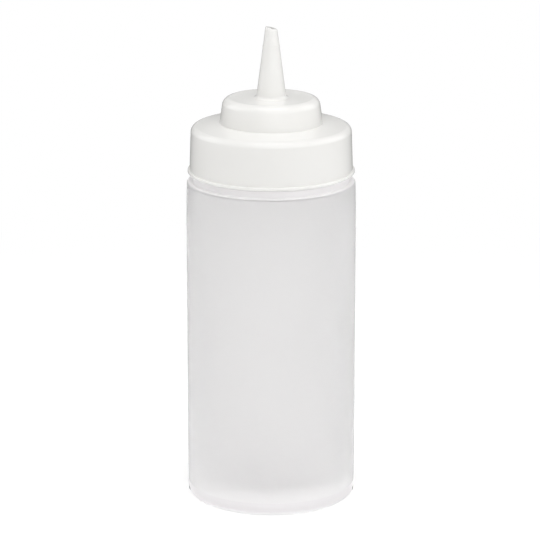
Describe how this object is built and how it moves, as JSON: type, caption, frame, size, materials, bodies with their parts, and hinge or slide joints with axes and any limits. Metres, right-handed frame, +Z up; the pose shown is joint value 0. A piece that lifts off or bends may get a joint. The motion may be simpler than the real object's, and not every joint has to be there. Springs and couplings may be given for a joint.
{
  "type": "squeeze bottle",
  "caption": "Empty wide-mouth squeeze bottle: a frosted, see-through round body with a short collar, and a white stepped screw cap with a long cone spout cut at a slant.",
  "frame": {"origin": "on the bottle's axis, in the plane that the foot ring stands on", "axes": "+Z up along the bottle's axis to the spout's tip; the slanting cut through the tip falls towards +X"},
  "size_m": [0.07, 0.07, 0.1991],
  "materials": {
    "bottle": "frosted, see-through",
    "cap": "satin"
  },
  "bodies": {
    "root": {"bottle": "bottle", "cap": "cap"}
  },
  "joints": []
}
